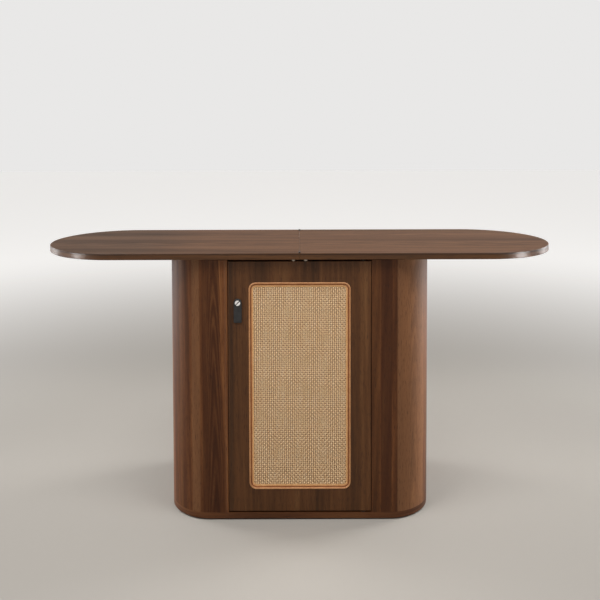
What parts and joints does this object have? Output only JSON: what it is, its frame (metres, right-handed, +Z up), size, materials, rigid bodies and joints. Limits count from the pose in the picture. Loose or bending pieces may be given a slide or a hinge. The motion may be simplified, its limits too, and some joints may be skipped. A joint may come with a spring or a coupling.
{
  "type": "kitchen table",
  "caption": "Narrow walnut kitchen table on a rounded cabinet with a cane door; the round-ended top folds in half and slides to lie on the cabinet.",
  "frame": {"origin": "on the floor under the middle of the table", "axes": "+X along the table to the right, +Y from the door to the back, +Z up"},
  "size_m": [1.5, 0.44, 0.7628],
  "materials": {
    "walnut": "satin",
    "cane": "matte",
    "leather": "matte",
    "nickel": "polished",
    "aluminium": "satin",
    "plastic": "matte"
  },
  "bodies": {
    "base": {"bottom_board": "walnut", "corner_front_left": "walnut", "corner_front_right": "walnut", "corner_rear_left": "walnut", "corner_rear_right": "walnut", "end_panel_left": "walnut", "end_panel_right": "walnut", "back_panel": "walnut", "upright_left": "walnut", "upright_right": "walnut", "deck": "walnut", "shelf": "walnut", "shelf_pin_front_left": "nickel", "shelf_pin_front_right": "nickel", "shelf_pin_rear_left": "nickel", "shelf_pin_rear_right": "nickel", "floor_glide_front_left": "plastic", "floor_glide_front_right": "plastic", "floor_glide_rear_left": "plastic", "floor_glide_rear_right": "plastic", "slide_rail_front": "aluminium", "slide_rail_rear": "aluminium", "glide_strip_left": "plastic", "glide_strip_right": "plastic", "pivot_bush": "plastic", "pivot_plate": "nickel", "door_stop": "walnut", "magnetic_catch": "plastic"},
    "door": {"door_panel": "walnut", "cane_panel": "cane", "cane_border": "cane", "cane_trim": "cane", "pull_tab": "leather", "pull_screw": "nickel", "pivot_pin_lower": "nickel", "pivot_pin_upper": "nickel", "strike_plate": "nickel"},
    "left_leaf": {"left_leaf_panel": "walnut", "runner_front": "aluminium", "runner_rear": "aluminium", "hinge_strap_front_left": "nickel", "hinge_strap_rear_left": "nickel", "hinge_pin_front": "nickel", "hinge_pin_rear": "nickel", "hinge_bolt_front_left": "nickel", "hinge_bolt_rear_left": "nickel"},
    "right_leaf": {"right_leaf_panel": "walnut", "hinge_strap_front_right": "nickel", "hinge_strap_rear_right": "nickel", "hinge_bolt_front_right": "nickel", "hinge_bolt_rear_right": "nickel"}
  },
  "joints": [
    {"name": "door_swing", "type": "hinge", "parent": "base", "child": "door", "pos_m": [0.178, -0.195, 0.38], "axis": [0, 0, 1], "range_deg": [0, 110]},
    {"name": "top_slide", "type": "slide", "parent": "base", "child": "left_leaf", "axis": [1, 0, 0], "range_m": [0, 0.375]},
    {"name": "leaf_fold", "type": "hinge", "parent": "left_leaf", "child": "right_leaf", "pos_m": [0, 0, 0.7604], "axis": [0, -1, 0], "range_deg": [0, 180]}
  ]
}
